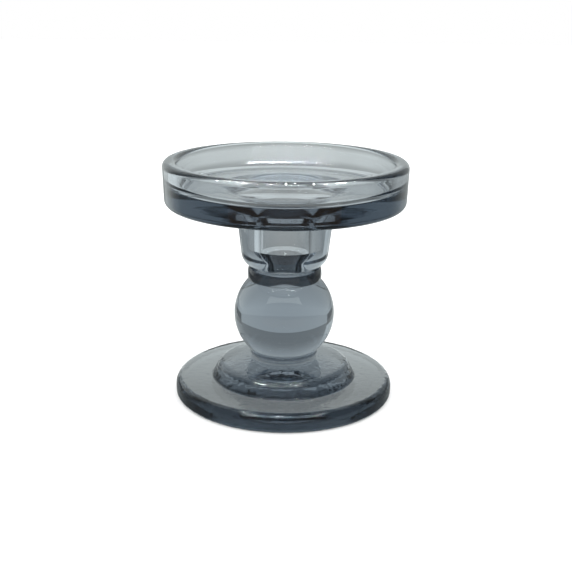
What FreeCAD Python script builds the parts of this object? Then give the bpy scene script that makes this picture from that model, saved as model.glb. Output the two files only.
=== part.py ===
import FreeCAD, Part
import math
import os

# A pressed glass candlestick, built as the stack of pressed sections that it is made of:
# foot, lower wafer, ball knop, upper wafer, candle socket and candle dish.
# Each section is a solid of revolution about the Z axis, and neighbours meet on flat faces.
# Lengths are in millimetres, +Z is up, and the foot rests on z = 0.

# Foot: a flat plate with a low dome in the middle
FOOT_R = 52.9
FOOT_EDGE_H = 8.6
FOOT_TOP_ROUND = 4.0
FOOT_BOTTOM_ROUND = 2.0
DOME_BASE_R = 34.9
DOME_SHOULDER_R = 31.4
DOME_SHOULDER_H = 15.4
DOME_BASE_ROUND = 1.0
DOME_SHOULDER_ROUND = 6.0
DOME_TOP_H = 18.4

# Lower wafer: the neck ring under the ball, with a groove below it and one above it
LOWER_WAFER_R = 16.5
LOWER_WAFER_ROUND = 1.3
LOWER_RING_BOTTOM_H = 1.0
LOWER_RING_TOP_H = 3.7
LOWER_GROOVE_R = 14.6
LOWER_WAFER_H = 5.0

# Ball knop
BALL_R = 24.25
BALL_MID_H = 40.1
BALL_TOP_H = 57.3

# Upper wafer: the barrel-shaped collar between the ball and the socket
UPPER_WAFER_H = 6.1
UPPER_WAFER_BOTTOM_R = 17.6
UPPER_WAFER_BOTTOM_ROUND = 0.6
UPPER_WAFER_WAIST_R = 17.95
UPPER_WAFER_WAIST_H = 3.0
UPPER_WAFER_WAIST_ROUND = 12.0
UPPER_WAFER_TOP_R = 17.4
UPPER_WAFER_TOP_ROUND = 1.2

# Candle socket: a thick cup with a bore for a 22 mm dinner candle, and a narrower rounded tip
SOCKET_BOTTOM_R = 20.05
SOCKET_BOTTOM_ROUND = 7.4
SOCKET_TOP_R = 23.5
SOCKET_FILLET = 4.5
FLANGE_R = 28.0
FLANGE_H = 0.25
BORE_R = 11.3
BORE_LEDGE_H = 73.0
BORE_TIP_R = 5.0
BORE_TIP_H = 66.5
BORE_TIP_ROUND = 5.0

# Funnel that leads a candle from the dish floor into the bore
FUNNEL_FOOT_H = 89.0
FUNNEL_FOOT_ROUND = 4.0
FUNNEL_JOINT_R = 13.5
MOUTH_R = 28.0
MOUTH_ROUND = 16.0

# Candle dish: a thick floor with a raised rim
DISH_R = 57.5
DISH_BOTTOM_R = 56.7
DISH_BOTTOM_H = 93.7
DISH_BOTTOM_ROUND = 3.4
DISH_FLOOR_H = 102.4
DISH_FLOOR_ROUND = 5.0
DISH_INSIDE_R = 50.4
DISH_INSIDE_DRAFT = 0.6
DISH_TOP_H = 114.8
RIM_OUTER_ROUND = 2.7
RIM_INNER_ROUND = 3.2

# Heights of the joints between the sections
FOOT_TOP = DOME_TOP_H
LOWER_WAFER_TOP = FOOT_TOP + LOWER_WAFER_H
BALL_TOP = BALL_TOP_H
UPPER_WAFER_TOP = BALL_TOP + UPPER_WAFER_H
SOCKET_TOP = DISH_BOTTOM_H

AXIS_START = FreeCAD.Vector(0, 0, 0)
AXIS_DIRECTION = FreeCAD.Vector(0, 0, 1)


def at(r, z):
    """The point at radius r and height z in the section plane."""
    return FreeCAD.Vector(r, 0, z)


def ball_radius_at(z):
    """The ball's radius at height z."""
    return math.sqrt(BALL_R ** 2 - (z - BALL_MID_H) ** 2)


def corner_arc(before, corner, after, radius):
    """The arc of that radius that rounds a corner, as its start, middle and end."""
    to_before = (before - corner).normalize()
    to_after = (after - corner).normalize()
    half_angle = to_before.getAngle(to_after) / 2
    setback = radius / math.tan(half_angle)
    bisector = (to_before + to_after).normalize()
    centre = corner + bisector * (radius / math.sin(half_angle))
    return (
        corner + to_before * setback,
        centre - bisector * radius,
        corner + to_after * setback,
    )


def outline(corners):
    """A closed wire through (r, z, rounding) corners, with an arc where rounding isn't 0."""
    points = [at(r, z) for r, z, rounding in corners]
    spans = []
    for i, (r, z, rounding) in enumerate(corners):
        before, after = points[i - 1], points[(i + 1) % len(points)]
        if rounding:
            spans.append(corner_arc(before, points[i], after, rounding))
        else:
            spans.append((points[i],))
    edges = []
    for i, span in enumerate(spans):
        if len(span) == 3:
            edges.append(Part.Arc(*span).toShape())
        start, end = span[-1], spans[(i + 1) % len(spans)][0]
        if (end - start).Length > 1e-6:
            edges.append(Part.LineSegment(start, end).toShape())
    return Part.Wire(edges)


def spun(wire):
    """The solid that a closed wire sweeps in a full turn about the Z axis."""
    face = Part.Face(wire)
    return face.revolve(AXIS_START, AXIS_DIRECTION, 360)


def foot():
    return spun(outline([
        (0, 0, 0),
        (FOOT_R, 0, FOOT_BOTTOM_ROUND),
        (FOOT_R, FOOT_EDGE_H, FOOT_TOP_ROUND),
        (DOME_BASE_R, FOOT_EDGE_H, DOME_BASE_ROUND),
        (DOME_SHOULDER_R, DOME_SHOULDER_H, DOME_SHOULDER_ROUND),
        (LOWER_WAFER_R, DOME_TOP_H, 0),
        (0, DOME_TOP_H, 0),
    ]))


def lower_wafer():
    ring_bottom = FOOT_TOP + LOWER_RING_BOTTOM_H
    ring_top = FOOT_TOP + LOWER_RING_TOP_H
    return spun(outline([
        (0, FOOT_TOP, 0),
        (LOWER_GROOVE_R, FOOT_TOP, 0),
        (LOWER_GROOVE_R, ring_bottom, 0),
        (LOWER_WAFER_R, ring_bottom, LOWER_WAFER_ROUND),
        (LOWER_WAFER_R, ring_top, LOWER_WAFER_ROUND),
        (LOWER_GROOVE_R, ring_top, 0),
        (LOWER_GROOVE_R, LOWER_WAFER_TOP, 0),
        (0, LOWER_WAFER_TOP, 0),
    ]))


def ball_knop():
    bottom = at(ball_radius_at(LOWER_WAFER_TOP), LOWER_WAFER_TOP)
    middle = at(BALL_R, BALL_MID_H)
    top = at(ball_radius_at(BALL_TOP), BALL_TOP)
    return spun(Part.Wire([
        Part.Arc(bottom, middle, top).toShape(),
        Part.LineSegment(top, at(0, BALL_TOP)).toShape(),
        Part.LineSegment(at(0, BALL_TOP), at(0, LOWER_WAFER_TOP)).toShape(),
        Part.LineSegment(at(0, LOWER_WAFER_TOP), bottom).toShape(),
    ]))


def upper_wafer():
    return spun(outline([
        (0, BALL_TOP, 0),
        (UPPER_WAFER_BOTTOM_R, BALL_TOP, UPPER_WAFER_BOTTOM_ROUND),
        (UPPER_WAFER_WAIST_R, BALL_TOP + UPPER_WAFER_WAIST_H, UPPER_WAFER_WAIST_ROUND),
        (UPPER_WAFER_TOP_R, UPPER_WAFER_TOP, UPPER_WAFER_TOP_ROUND),
        (0, UPPER_WAFER_TOP, 0),
    ]))


def candle_socket():
    flange_bottom = SOCKET_TOP - FLANGE_H
    return spun(outline([
        (0, UPPER_WAFER_TOP, 0),
        (SOCKET_BOTTOM_R, UPPER_WAFER_TOP, SOCKET_BOTTOM_ROUND),
        (SOCKET_TOP_R, flange_bottom, SOCKET_FILLET),
        (FLANGE_R, flange_bottom, 0),
        (FLANGE_R, SOCKET_TOP, 0),
        (FUNNEL_JOINT_R, SOCKET_TOP, 0),
        (BORE_R, FUNNEL_FOOT_H, FUNNEL_FOOT_ROUND),
        (BORE_R, BORE_LEDGE_H, 0),
        (BORE_TIP_R, BORE_TIP_H, BORE_TIP_ROUND),
        (0, BORE_TIP_H, 0),
    ]))


def candle_dish():
    inside_bottom_r = DISH_INSIDE_R - DISH_INSIDE_DRAFT
    return spun(outline([
        (FUNNEL_JOINT_R, DISH_BOTTOM_H, 0),
        (DISH_BOTTOM_R, DISH_BOTTOM_H, DISH_BOTTOM_ROUND),
        (DISH_R, DISH_TOP_H, RIM_OUTER_ROUND),
        (DISH_INSIDE_R, DISH_TOP_H, RIM_INNER_ROUND),
        (inside_bottom_r, DISH_FLOOR_H, DISH_FLOOR_ROUND),
        (MOUTH_R, DISH_FLOOR_H, MOUTH_ROUND),
    ]))


SECTIONS = {
    "foot": foot,
    "lower_wafer": lower_wafer,
    "ball_knop": ball_knop,
    "upper_wafer": upper_wafer,
    "candle_socket": candle_socket,
    "candle_dish": candle_dish,
}

os.makedirs("parts", exist_ok=True)
for name, make in SECTIONS.items():
    shape = make()
    shape.exportStep("parts/" + name + ".step")
    print(name, "valid", shape.isValid(), "volume mm3", round(shape.Volume, 1))
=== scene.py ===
import math

import bpy
from mathutils import Matrix, Vector, noise


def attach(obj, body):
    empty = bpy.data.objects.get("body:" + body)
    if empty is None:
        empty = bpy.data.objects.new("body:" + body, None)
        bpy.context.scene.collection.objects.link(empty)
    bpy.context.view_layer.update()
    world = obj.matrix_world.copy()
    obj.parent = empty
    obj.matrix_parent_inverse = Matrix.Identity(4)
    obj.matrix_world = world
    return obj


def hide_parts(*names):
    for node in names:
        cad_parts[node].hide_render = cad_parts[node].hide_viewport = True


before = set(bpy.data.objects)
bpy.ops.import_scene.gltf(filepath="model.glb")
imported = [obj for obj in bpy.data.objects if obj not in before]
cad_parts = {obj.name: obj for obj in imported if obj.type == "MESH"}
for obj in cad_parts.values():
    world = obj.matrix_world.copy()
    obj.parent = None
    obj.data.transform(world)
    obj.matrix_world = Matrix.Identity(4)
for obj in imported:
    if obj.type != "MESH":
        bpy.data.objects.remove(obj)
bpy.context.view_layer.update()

# A pressed glass candlestick. Every section is one closed solid of revolution about Z.
# The sections are fused glass, so the flat faces where two of them meet must not refract:
# each face carries an "ior" value, which is 1 on such a joint and GLASS_IOR everywhere else.

MM = 0.001
WHITE = (1.0, 1.0, 1.0, 1.0)

# How finely the sections are turned, with lengths in millimetres
SEGMENTS = 480
ARC_STEP = math.radians(3)
EDGE_STEP = 1.2
FOOT_EDGE_STEP = 0.6
SHARP_ANGLE = math.radians(20)

# Each section ends this far below the next, in millimetres, so that no two faces coincide
JOINT_GAP = 0.01
SAME_HEIGHT = 2 * JOINT_GAP
ON_AXIS = 1e-6

# Ripples that pressing leaves in the glass: their height and length in millimetres.
# The offset, in ripple lengths, keeps the upward ripples apart from the outward ones.
RIPPLE = 0.006
FOOT_RIPPLE = 0.08
RIPPLE_LENGTH = 1.8
RIPPLE_OFFSET = Vector((0, 0, 50))

# Smoke glass, with its absorption per metre
GLASS_IOR = 1.52
ABSORB_DENSITY = 100.0
ABSORB_COLOUR = (0.745, 0.769, 0.795, 1.0)

# Camera, in metres from the foot's centre
CAMERA_BACK = 0.4548
CAMERA_UP = 0.1927
AIM_UP = 0.0532
CLIP_START = 0.01
LENS = 61.95
ROLL = math.radians(0.656)
SHIFT_X = 0.00264

# Section sizes in millimetres, as radii and as heights above the foot's underside
FOOT_R, FOOT_EDGE_H = 52.9, 8.6
FOOT_BOTTOM_ROUND, FOOT_TOP_ROUND = 2.0, 4.0
DOME_BASE_R, DOME_BASE_ROUND = 34.9, 1.0
DOME_SHOULDER_R, DOME_SHOULDER_H, DOME_SHOULDER_ROUND = 31.4, 15.4, 6.0
DOME_TOP_H = 18.4

LOWER_WAFER_R, LOWER_WAFER_ROUND = 16.5, 1.3
LOWER_RING_BOTTOM_H, LOWER_RING_TOP_H = 19.4, 22.1
LOWER_GROOVE_R, LOWER_WAFER_TOP_H = 14.6, 23.4

BALL_R, BALL_MID_H, BALL_TOP_H = 24.25, 40.1, 57.3
BALL_SEAT_R = 17.0

UPPER_WAFER_BOTTOM_R, UPPER_WAFER_BOTTOM_ROUND = 17.6, 0.6
UPPER_WAFER_WAIST_R, UPPER_WAFER_WAIST_H = 17.95, 60.3
UPPER_WAFER_WAIST_ROUND = 12.0
UPPER_WAFER_TOP_R, UPPER_WAFER_TOP_H, UPPER_WAFER_TOP_ROUND = 17.4, 63.4, 1.2
UPPER_WAFER_SEAT_R = 13.4

SOCKET_BOTTOM_R, SOCKET_BOTTOM_ROUND = 20.05, 7.4
SOCKET_TOP_R, SOCKET_FILLET = 23.5, 4.5
FLANGE_R, FLANGE_THICKNESS = 28.0, 0.25
BORE_R, BORE_LEDGE_H = 11.3, 73.0
BORE_TIP_R, BORE_TIP_H, BORE_TIP_ROUND = 5.0, 66.5, 5.0
FUNNEL_FOOT_H, FUNNEL_FOOT_ROUND = 89.0, 4.0
FUNNEL_JOINT_R = 13.5
MOUTH_R, MOUTH_ROUND = 28.0, 16.0

DISH_R, DISH_BOTTOM_R, DISH_BOTTOM_H, DISH_BOTTOM_ROUND = 57.5, 56.7, 93.7, 3.4
DISH_FLOOR_H, DISH_FLOOR_R, DISH_FLOOR_ROUND = 102.4, 49.8, 5.0
DISH_INSIDE_R, DISH_TOP_H = 50.4, 114.8
RIM_OUTER_ROUND, RIM_INNER_ROUND = 2.7, 3.2

# Light tent around the object, in metres. It is open in front, and its ceiling has a hole.
# The back shines with one level below its span of heights and another above it.
# The side walls, above a low strip, and the floor do so from front to back.
TENT_LEFT, TENT_RIGHT = -0.13, 0.125
TENT_FRONT, TENT_BACK = -0.13, 0.14
TENT_HEIGHT = 0.24
OPENING_HEIGHT = 0.14
HOLE_HALF_WIDTH, HOLE_FRONT, HOLE_BACK = 0.06, -0.02, 0.07
TENT_COLOUR = (0.925, 1.0, 1.0, 1.0)
BACK_SPAN, BACK_LEVELS = (0.05, 0.12), (0.45, 0.9)
SIDE_LOW_HEIGHT, SIDE_LOW_LEVEL = 0.035, 0.28
SIDE_SPAN = (0.0, 0.06)
LEFT_LEVELS = (0.25, 1.05)
RIGHT_LEVELS = (0.12, 0.55)
FRONT_LEVEL = 1.5
CEILING_LEVEL = 0.8
SWEEP_HEIGHT, SWEEP_LEVEL = 0.025, 0.82
FLOOR_SPAN, FLOOR_LEVELS = (-0.02, 0.105), (0.24, 0.93)

# Two rows of small lamps just under the ceiling, in metres
LAMP_ROWS_Y = (-0.085, -0.035)
LAMP_ROW_HALF_LENGTH = 0.12
LAMP_PITCH = 0.012
LAMP_WIDTH, LAMP_DEPTH = 0.0035, 0.009
LAMP_LEVEL = 450.0
LAMP_DROP = 0.001

# Room around the tent, and the light that falls on the floor
ROOM_COLOUR = (0.13, 0.12, 0.11, 1.0)
TABLE_COLOUR = (0.36, 0.31, 0.27, 1.0)
BACKDROP_COLOUR = WHITE
FLOOR_LIGHT = (2.0, 2.0, 2.0, 1.0)
FLOOR_COLOUR = (0.8, 0.8, 0.8, 1.0)

# The floor's half size in metres, and how far it lies under the foot in millimetres
FLOOR_HALF_SIZE = 3.0
FLOOR_DROP = 0.02

# Light paths, deep enough for the many glass surfaces
GLASS_BOUNCES = 40
GLOSSY_BOUNCES = 24
DIFFUSE_BOUNCES = 3


def corner_arc(before, corner, after, radius):
    """Points on the arc of that radius that rounds a corner."""
    to_before = (before - corner).normalized()
    to_after = (after - corner).normalized()
    half_angle = to_before.angle(to_after) / 2
    bisector = (to_before + to_after).normalized()
    centre = corner + bisector * (radius / math.sin(half_angle))
    setback = radius / math.tan(half_angle)
    start = corner + to_before * setback - centre
    end = corner + to_after * setback - centre
    sweep = start.angle(end)
    steps = max(2, math.ceil(sweep / ARC_STEP))
    return [
        centre
        + start * (math.sin((1 - i / steps) * sweep) / math.sin(sweep))
        + end * (math.sin(i / steps * sweep) / math.sin(sweep))
        for i in range(steps + 1)
    ]


def outline(corners):
    """Points along (r, z, rounding) corners, with an arc where rounding isn't 0."""
    points = [Vector((r, z)) for r, z, rounding in corners]
    line = []
    for i, point in enumerate(points):
        rounding = corners[i][2]
        if rounding:
            before, after = points[i - 1], points[(i + 1) % len(points)]
            line += corner_arc(before, point, after, rounding)
        else:
            line.append(point)
    return line


def foot():
    """The outline of the foot: a round plate with a low dome."""
    top = DOME_TOP_H - JOINT_GAP
    return outline([
        (0, 0, 0),
        (FOOT_R, 0, FOOT_BOTTOM_ROUND),
        (FOOT_R, FOOT_EDGE_H, FOOT_TOP_ROUND),
        (DOME_BASE_R, FOOT_EDGE_H, DOME_BASE_ROUND),
        (DOME_SHOULDER_R, DOME_SHOULDER_H, DOME_SHOULDER_ROUND),
        (LOWER_WAFER_R, top, 0),
        (LOWER_GROOVE_R, top, 0),
        (0, top, 0),
    ])


def lower_wafer():
    """The outline of the neck ring, with a groove below it and one above it."""
    top = LOWER_WAFER_TOP_H - JOINT_GAP
    return outline([
        (0, DOME_TOP_H, 0),
        (LOWER_GROOVE_R, DOME_TOP_H, 0),
        (LOWER_GROOVE_R, LOWER_RING_BOTTOM_H, 0),
        (LOWER_WAFER_R, LOWER_RING_BOTTOM_H, LOWER_WAFER_ROUND),
        (LOWER_WAFER_R, LOWER_RING_TOP_H, LOWER_WAFER_ROUND),
        (LOWER_GROOVE_R, LOWER_RING_TOP_H, 0),
        (LOWER_GROOVE_R, top, 0),
        (0, top, 0),
    ])


def ball_knop():
    """The outline of the ball, cut level at its bottom and top."""
    top = BALL_TOP_H - JOINT_GAP
    low_angle = math.asin((LOWER_WAFER_TOP_H - BALL_MID_H) / BALL_R)
    high_angle = math.asin((top - BALL_MID_H) / BALL_R)
    steps = math.ceil((high_angle - low_angle) / ARC_STEP)
    arc = []
    for i in range(steps + 1):
        angle = low_angle + (high_angle - low_angle) * i / steps
        arc.append(Vector((BALL_R * math.cos(angle), BALL_MID_H + BALL_R * math.sin(angle))))
    bottom = [Vector((0, LOWER_WAFER_TOP_H)), Vector((LOWER_GROOVE_R, LOWER_WAFER_TOP_H))]
    return bottom + arc + [Vector((BALL_SEAT_R, top)), Vector((0, top))]


def upper_wafer():
    """The outline of the barrel-shaped collar between the ball and the socket."""
    top = UPPER_WAFER_TOP_H - JOINT_GAP
    return outline([
        (0, BALL_TOP_H, 0),
        (UPPER_WAFER_BOTTOM_R, BALL_TOP_H, UPPER_WAFER_BOTTOM_ROUND),
        (UPPER_WAFER_WAIST_R, UPPER_WAFER_WAIST_H, UPPER_WAFER_WAIST_ROUND),
        (UPPER_WAFER_TOP_R, top, UPPER_WAFER_TOP_ROUND),
        (UPPER_WAFER_SEAT_R, top, 0),
        (0, top, 0),
    ])


def candle_socket():
    """The outline of the cup, with the blind bore and the funnel above it."""
    top = DISH_BOTTOM_H - JOINT_GAP
    flange_bottom = DISH_BOTTOM_H - FLANGE_THICKNESS
    return outline([
        (0, UPPER_WAFER_TOP_H, 0),
        (SOCKET_BOTTOM_R, UPPER_WAFER_TOP_H, SOCKET_BOTTOM_ROUND),
        (SOCKET_TOP_R, flange_bottom, SOCKET_FILLET),
        (FLANGE_R, flange_bottom, 0),
        (FLANGE_R, top, 0),
        (FUNNEL_JOINT_R, top, 0),
        (BORE_R, FUNNEL_FOOT_H, FUNNEL_FOOT_ROUND),
        (BORE_R, BORE_LEDGE_H, 0),
        (BORE_TIP_R, BORE_TIP_H, BORE_TIP_ROUND),
        (0, BORE_TIP_H, 0),
    ])


def candle_dish():
    """The outline of the dish. It doesn't touch the axis, so it closes on itself."""
    return outline([
        (FUNNEL_JOINT_R, DISH_BOTTOM_H, 0),
        (FLANGE_R, DISH_BOTTOM_H, 0),
        (DISH_BOTTOM_R, DISH_BOTTOM_H, DISH_BOTTOM_ROUND),
        (DISH_R, DISH_TOP_H, RIM_OUTER_ROUND),
        (DISH_INSIDE_R, DISH_TOP_H, RIM_INNER_ROUND),
        (DISH_FLOOR_R, DISH_FLOOR_H, DISH_FLOOR_ROUND),
        (MOUTH_R, DISH_FLOOR_H, MOUTH_ROUND),
    ])


# The joints, each as its height and outer radius
FOOT_JOINT = (DOME_TOP_H, LOWER_GROOVE_R)
LOWER_WAFER_JOINT = (LOWER_WAFER_TOP_H, LOWER_GROOVE_R)
BALL_JOINT = (BALL_TOP_H, BALL_SEAT_R)
UPPER_WAFER_JOINT = (UPPER_WAFER_TOP_H, UPPER_WAFER_SEAT_R)
SOCKET_JOINT = (DISH_BOTTOM_H, FLANGE_R)

# Each section's outline, and the joints that it shares
SECTIONS = {
    "foot": (foot, [FOOT_JOINT]),
    "lower_wafer": (lower_wafer, [FOOT_JOINT, LOWER_WAFER_JOINT]),
    "ball_knop": (ball_knop, [LOWER_WAFER_JOINT, BALL_JOINT]),
    "upper_wafer": (upper_wafer, [BALL_JOINT, UPPER_WAFER_JOINT]),
    "candle_socket": (candle_socket, [UPPER_WAFER_JOINT, SOCKET_JOINT]),
    "candle_dish": (candle_dish, [SOCKET_JOINT]),
}


def face_ior(a, b, joints):
    """The ior of the band between two outline points: 1 where it lies inside a joint."""
    for height, radius in joints:
        flat = max(abs(a.y - height), abs(b.y - height)) < SAME_HEIGHT
        if flat and (a.x + b.x) / 2 < radius:
            return 1.0
    return GLASS_IOR


def on_flat(point, flats):
    """Whether an outline point is at the height of a joint or of the base."""
    return any(abs(point.y - height) < SAME_HEIGHT for height in flats)


def divided(points, flats, step):
    """An outline with points at most step apart, except along the flats."""
    fine = [points[0]]
    for a, b in zip(points, points[1:]):
        parts = max(1, math.ceil((b - a).length / step))
        if on_flat(a, flats) and on_flat(b, flats):
            parts = 1
        fine += [a.lerp(b, k / parts) for k in range(1, parts + 1)]
    return fine


def rippled(x, y, z, ripple):
    """The place in metres of a surface point, moved in or out and up or down by the ripples."""
    spot = Vector((x, y, z)) / RIPPLE_LENGTH
    scale = 1 + ripple * noise.noise(spot) / math.hypot(x, y)
    lift = ripple * noise.noise(spot + RIPPLE_OFFSET)
    return (x * scale * MM, y * scale * MM, (z + lift) * MM)


def turned(point, ripple):
    """The vertices that an outline point sweeps: a circle of them, or one on the axis."""
    if point.x < ON_AXIS:
        return [(0.0, 0.0, point.y * MM)]
    circle = []
    for k in range(SEGMENTS):
        turn = 2 * math.pi * k / SEGMENTS
        x, y = point.x * math.cos(turn), point.x * math.sin(turn)
        circle.append(rippled(x, y, point.y, ripple))
    return circle


def band(ring, next_ring):
    """The faces between two rings of vertices: triangles where one ring is on the axis."""
    faces = []
    for k in range(SEGMENTS):
        m = (k + 1) % SEGMENTS
        corners = (ring[k], ring[m], next_ring[m], next_ring[k])
        faces.append(list(dict.fromkeys(corners)))
    return faces


def lathe(name, points, joints, ripple, step):
    """The closed solid that an outline sweeps about Z."""
    flats = [0.0] + [height for height, radius in joints]
    points = divided(points, flats, step)
    rings = []
    vertices = []
    for point in points:
        start = len(vertices)
        vertices += turned(point, 0.0 if on_flat(point, flats) else ripple)
        on_axis = len(vertices) == start + 1
        rings.append([start if on_axis else start + k for k in range(SEGMENTS)])
    spans = list(range(len(rings) - 1))
    if points[0].x > ON_AXIS:
        spans.append(len(rings) - 1)
    faces = []
    iors = []
    for i in spans:
        j = (i + 1) % len(rings)
        faces += band(rings[i], rings[j])
        iors += [face_ior(points[i], points[j], joints)] * SEGMENTS
    mesh = bpy.data.meshes.new(name)
    mesh.from_pydata(vertices, [], faces)
    mesh.attributes.new("ior", "FLOAT", "FACE").data.foreach_set("value", iors)
    mesh.shade_smooth()
    mesh.set_sharp_from_angle(angle=SHARP_ANGLE)
    piece = bpy.data.objects.new(name, mesh)
    bpy.context.scene.collection.objects.link(piece)
    return piece


def smoke_glass():
    """The one glass of every section. Its IOR is linked because joint faces have their own."""
    material = bpy.data.materials.new("smoke_glass")
    material.use_nodes = True
    tree = material.node_tree
    tree.nodes.clear()
    output = tree.nodes.new("ShaderNodeOutputMaterial")
    surface = tree.nodes.new("ShaderNodeBsdfPrincipled")
    surface.inputs["Base Color"].default_value = WHITE
    surface.inputs["Roughness"].default_value = 0.0
    surface.inputs["Transmission Weight"].default_value = 1.0
    ior = tree.nodes.new("ShaderNodeAttribute")
    ior.attribute_name = "ior"
    tree.links.new(ior.outputs["Fac"], surface.inputs["IOR"])
    volume = tree.nodes.new("ShaderNodeVolumeAbsorption")
    volume.inputs["Color"].default_value = ABSORB_COLOUR
    volume.inputs["Density"].default_value = ABSORB_DENSITY
    tree.links.new(surface.outputs[0], output.inputs["Surface"])
    tree.links.new(volume.outputs[0], output.inputs["Volume"])
    return material


def candlestick():
    """The six sections, each in place of its CAD node."""
    glass = smoke_glass()
    for node, (section, joints) in SECTIONS.items():
        ripple, step = (FOOT_RIPPLE, FOOT_EDGE_STEP) if node == "foot" else (RIPPLE, EDGE_STEP)
        piece = lathe("glass_" + node, section(), joints, ripple, step)
        piece.data.materials.append(glass)
        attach(piece, "root")
        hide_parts(node)


def level_quad(x0, x1, y0, y1, z):
    """A level rectangle's corners."""
    return [(x0, y0, z), (x1, y0, z), (x1, y1, z), (x0, y1, z)]


def upright_quad(x0, y0, x1, y1, z0, z1):
    """An upright rectangle's corners."""
    return [(x0, y0, z0), (x1, y1, z0), (x1, y1, z1), (x0, y0, z1)]


def glowing(name, levels, span=(0.0, 1.0), axis="Z"):
    """A material that shines with levels[0] up to span[0] on an axis, levels[1] past span[1]."""
    material = bpy.data.materials.new(name)
    material.use_nodes = True
    tree = material.node_tree
    tree.nodes.clear()
    place = tree.nodes.new("ShaderNodeNewGeometry")
    level = tree.nodes.new("ShaderNodeMapRange")
    level.inputs["From Min"].default_value = span[0]
    level.inputs["From Max"].default_value = span[1]
    level.inputs["To Min"].default_value = levels[0]
    level.inputs["To Max"].default_value = levels[1]
    split = tree.nodes.new("ShaderNodeSeparateXYZ")
    tree.links.new(place.outputs["Position"], split.inputs[0])
    tree.links.new(split.outputs[axis], level.inputs["Value"])
    shine = tree.nodes.new("ShaderNodeEmission")
    shine.inputs["Color"].default_value = TENT_COLOUR
    output = tree.nodes.new("ShaderNodeOutputMaterial")
    tree.links.new(level.outputs[0], shine.inputs["Strength"])
    tree.links.new(shine.outputs[0], output.inputs["Surface"])
    material.cycles.emission_sampling = "NONE"
    return material


def even(name, level):
    """A material that shines with the same level everywhere."""
    return glowing(name, (level, level))


def tent_part(name, quads, material):
    """Part of the tent, which the camera and the floor don't see but the glass does."""
    mesh = bpy.data.meshes.new(name)
    corners = [corner for four in quads for corner in four]
    faces = [tuple(range(4 * i, 4 * i + 4)) for i in range(len(quads))]
    mesh.from_pydata(corners, [], faces)
    mesh.materials.append(material)
    part = bpy.data.objects.new(name, mesh)
    part.visible_camera = False
    part.visible_diffuse = False
    part.visible_shadow = False
    bpy.context.scene.collection.objects.link(part)


def tent():
    """The light tent: its walls, floor and ceiling, and the lamps under the ceiling."""
    left, right, front, back = TENT_LEFT, TENT_RIGHT, TENT_FRONT, TENT_BACK
    top = TENT_HEIGHT
    hole_x = HOLE_HALF_WIDTH
    low = -FLOOR_DROP * MM
    tent_part("tent_back", [upright_quad(left, back, right, back, SWEEP_HEIGHT, top)],
              glowing("tent_back", BACK_LEVELS, BACK_SPAN))
    for name, x, levels in (("left", left, LEFT_LEVELS), ("right", right, RIGHT_LEVELS)):
        tent_part("tent_" + name, [upright_quad(x, front, x, back, SIDE_LOW_HEIGHT, top)],
                  glowing("tent_" + name, levels, SIDE_SPAN, "Y"))
        tent_part("tent_low_" + name, [upright_quad(x, front, x, back, low, SIDE_LOW_HEIGHT)],
                  even("tent_low_" + name, SIDE_LOW_LEVEL))
    tent_part("tent_floor", [level_quad(left, right, front, back, low)],
              glowing("tent_floor", FLOOR_LEVELS, FLOOR_SPAN, "Y"))
    tent_part("tent_sweep", [upright_quad(left, back, right, back, low, SWEEP_HEIGHT)],
              even("tent_sweep", SWEEP_LEVEL))
    tent_part("tent_front", [upright_quad(left, front, right, front, OPENING_HEIGHT, top)],
              even("tent_front", FRONT_LEVEL))
    tent_part("tent_ceiling", [
        level_quad(left, right, front, HOLE_FRONT, top),
        level_quad(left, right, HOLE_BACK, back, top),
        level_quad(left, -hole_x, HOLE_FRONT, HOLE_BACK, top),
        level_quad(hole_x, right, HOLE_FRONT, HOLE_BACK, top),
    ], even("tent_ceiling", CEILING_LEVEL))
    tent_part("tent_lamps", lamps(), even("tent_lamps", LAMP_LEVEL))


def lamps():
    """The rectangles of the rows of lamps."""
    count = int(LAMP_ROW_HALF_LENGTH / LAMP_PITCH)
    rectangles = []
    for y in LAMP_ROWS_Y:
        for i in range(-count, count + 1):
            x = i * LAMP_PITCH
            rectangles.append(level_quad(
                x - LAMP_WIDTH / 2, x + LAMP_WIDTH / 2,
                y - LAMP_DEPTH / 2, y + LAMP_DEPTH / 2, TENT_HEIGHT - LAMP_DROP))
    return rectangles


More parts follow.
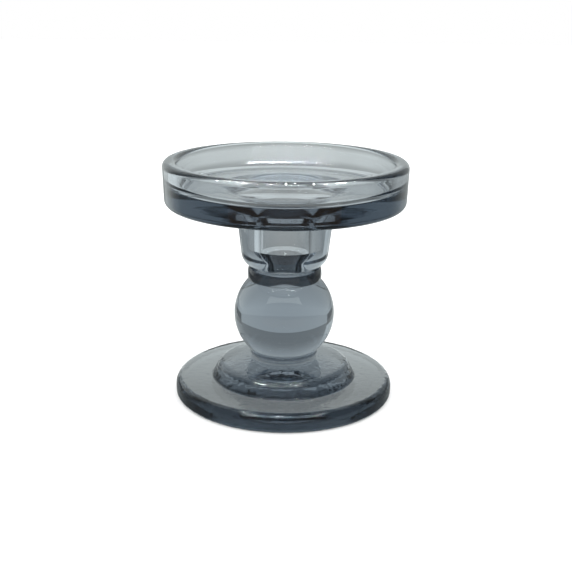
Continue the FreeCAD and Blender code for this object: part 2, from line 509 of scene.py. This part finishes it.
def room():
    """The world: a white backdrop for the camera, light for the floor, a room for the glass."""
    world = bpy.data.worlds.new("room")
    bpy.context.scene.world = world
    world.use_nodes = True
    world.cycles.sampling_method = "NONE"
    tree = world.node_tree
    tree.nodes.clear()

    def maths(operation, value, level):
        node = tree.nodes.new("ShaderNodeMath")
        node.operation = operation
        tree.links.new(value, node.inputs[0])
        node.inputs[1].default_value = level
        return node.outputs[0]

    def mix(factor, start, end):
        node = tree.nodes.new("ShaderNodeMix")
        node.data_type = "RGBA"
        tree.links.new(factor, node.inputs["Factor"])
        for socket, colour in ((node.inputs["A"], start), (node.inputs["B"], end)):
            if isinstance(colour, tuple):
                socket.default_value = colour
            else:
                tree.links.new(colour, socket)
        return node.outputs["Result"]

    direction = tree.nodes.new("ShaderNodeTexCoord").outputs["Generated"]
    split = tree.nodes.new("ShaderNodeSeparateXYZ")
    tree.links.new(direction, split.inputs[0])
    below = maths("LESS_THAN", split.outputs["Z"], 0.0)
    path = tree.nodes.new("ShaderNodeLightPath")
    from_floor = maths("GREATER_THAN", path.outputs["Diffuse Depth"], 0.5)
    colour = mix(below, ROOM_COLOUR, TABLE_COLOUR)
    colour = mix(from_floor, colour, FLOOR_LIGHT)
    colour = mix(path.outputs["Is Camera Ray"], colour, BACKDROP_COLOUR)
    background = tree.nodes.new("ShaderNodeBackground")
    tree.links.new(colour, background.inputs["Color"])
    output = tree.nodes.new("ShaderNodeOutputWorld")
    tree.links.new(background.outputs[0], output.inputs["Surface"])


def floor():
    """The pale floor that the camera sees, and the glass doesn't."""
    s = FLOOR_HALF_SIZE
    mesh = bpy.data.meshes.new("floor")
    mesh.from_pydata([(-s, -s, 0), (s, -s, 0), (s, s, 0), (-s, s, 0)], [], [(0, 1, 2, 3)])
    material = bpy.data.materials.new("floor_white")
    material.use_nodes = True
    surface = material.node_tree.nodes["Principled BSDF"]
    surface.inputs["Base Color"].default_value = FLOOR_COLOUR
    surface.inputs["Roughness"].default_value = 1.0
    surface.inputs["Specular IOR Level"].default_value = 0.0
    mesh.materials.append(material)
    plane = bpy.data.objects.new("floor", mesh)
    plane.location.z = -FLOOR_DROP * MM
    plane.visible_glossy = False
    plane.visible_transmission = False
    bpy.context.scene.collection.objects.link(plane)


def camera():
    """The camera, in front of the candlestick and above it."""
    data = bpy.data.cameras.new("camera")
    data.lens = LENS
    data.shift_x = SHIFT_X
    data.clip_start = CLIP_START
    eye = Vector((0, -CAMERA_BACK, CAMERA_UP))
    look = Vector((0, 0, AIM_UP)) - eye
    turn = look.to_track_quat("-Z", "Y").to_matrix().to_4x4()
    shot = bpy.data.objects.new("camera", data)
    shot.matrix_world = Matrix.Translation(eye) @ turn @ Matrix.Rotation(ROLL, 4, "Z")
    bpy.context.scene.collection.objects.link(shot)
    bpy.context.scene.camera = shot


def settings():
    """How colours are shown, and how far light is followed."""
    scene = bpy.context.scene
    scene.view_settings.view_transform = "Standard"
    scene.cycles.max_bounces = GLASS_BOUNCES
    scene.cycles.transmission_bounces = GLASS_BOUNCES
    scene.cycles.glossy_bounces = GLOSSY_BOUNCES
    scene.cycles.transparent_max_bounces = GLOSSY_BOUNCES
    scene.cycles.diffuse_bounces = DIFFUSE_BOUNCES


candlestick()
floor()
tent()
room()
camera()
settings()
